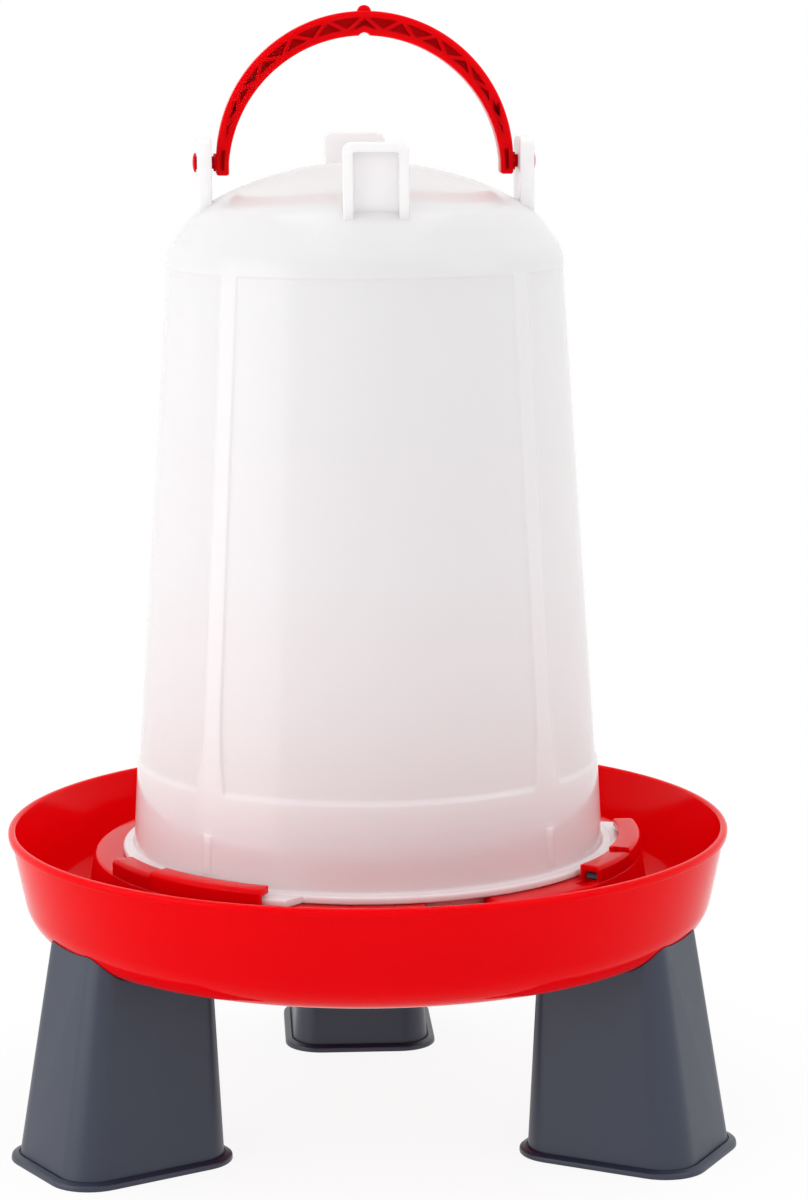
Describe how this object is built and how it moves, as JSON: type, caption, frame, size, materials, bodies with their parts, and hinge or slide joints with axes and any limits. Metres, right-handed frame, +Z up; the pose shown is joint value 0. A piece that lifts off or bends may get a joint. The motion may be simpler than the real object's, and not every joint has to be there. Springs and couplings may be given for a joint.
{
  "type": "poultry drinker",
  "caption": "Bell drinker for poultry: a translucent reservoir that twists into a round red trough on clip-on legs, with a folding bail handle.",
  "frame": {"origin": "on the floor, at the centre of the drinker's footprint box; the drinker's own upright axis stands 5.6 mm in front of it", "axes": "+Z up, +X to the drinker's right seen from the front, the front at -Y; one leg points to the rear"},
  "size_m": [0.3598, 0.3711, 0.5535],
  "materials": {
    "red_plastic": "glossy moulded red",
    "milky_plastic": "translucent milky white, satin",
    "grey_plastic": "satin slate grey"
  },
  "bodies": {
    "tray": {"tray": "red_plastic", "leg_front_right": "grey_plastic", "leg_rear": "grey_plastic", "leg_front_left": "grey_plastic"},
    "reservoir": {"reservoir": "milky_plastic"},
    "handle": {"handle": "red_plastic"}
  },
  "joints": [
    {"name": "reservoir_twist", "type": "hinge", "parent": "tray", "child": "reservoir", "pos_m": [0, -0.0056, 0.1373], "axis": [0, 0, 1], "range_deg": [0, 65]},
    {"name": "handle_swing", "type": "hinge", "parent": "reservoir", "child": "handle", "pos_m": [0, -0.0056, 0.4784], "axis": [0.9997, 0.0236, 0], "range_deg": [-78, 78]}
  ]
}
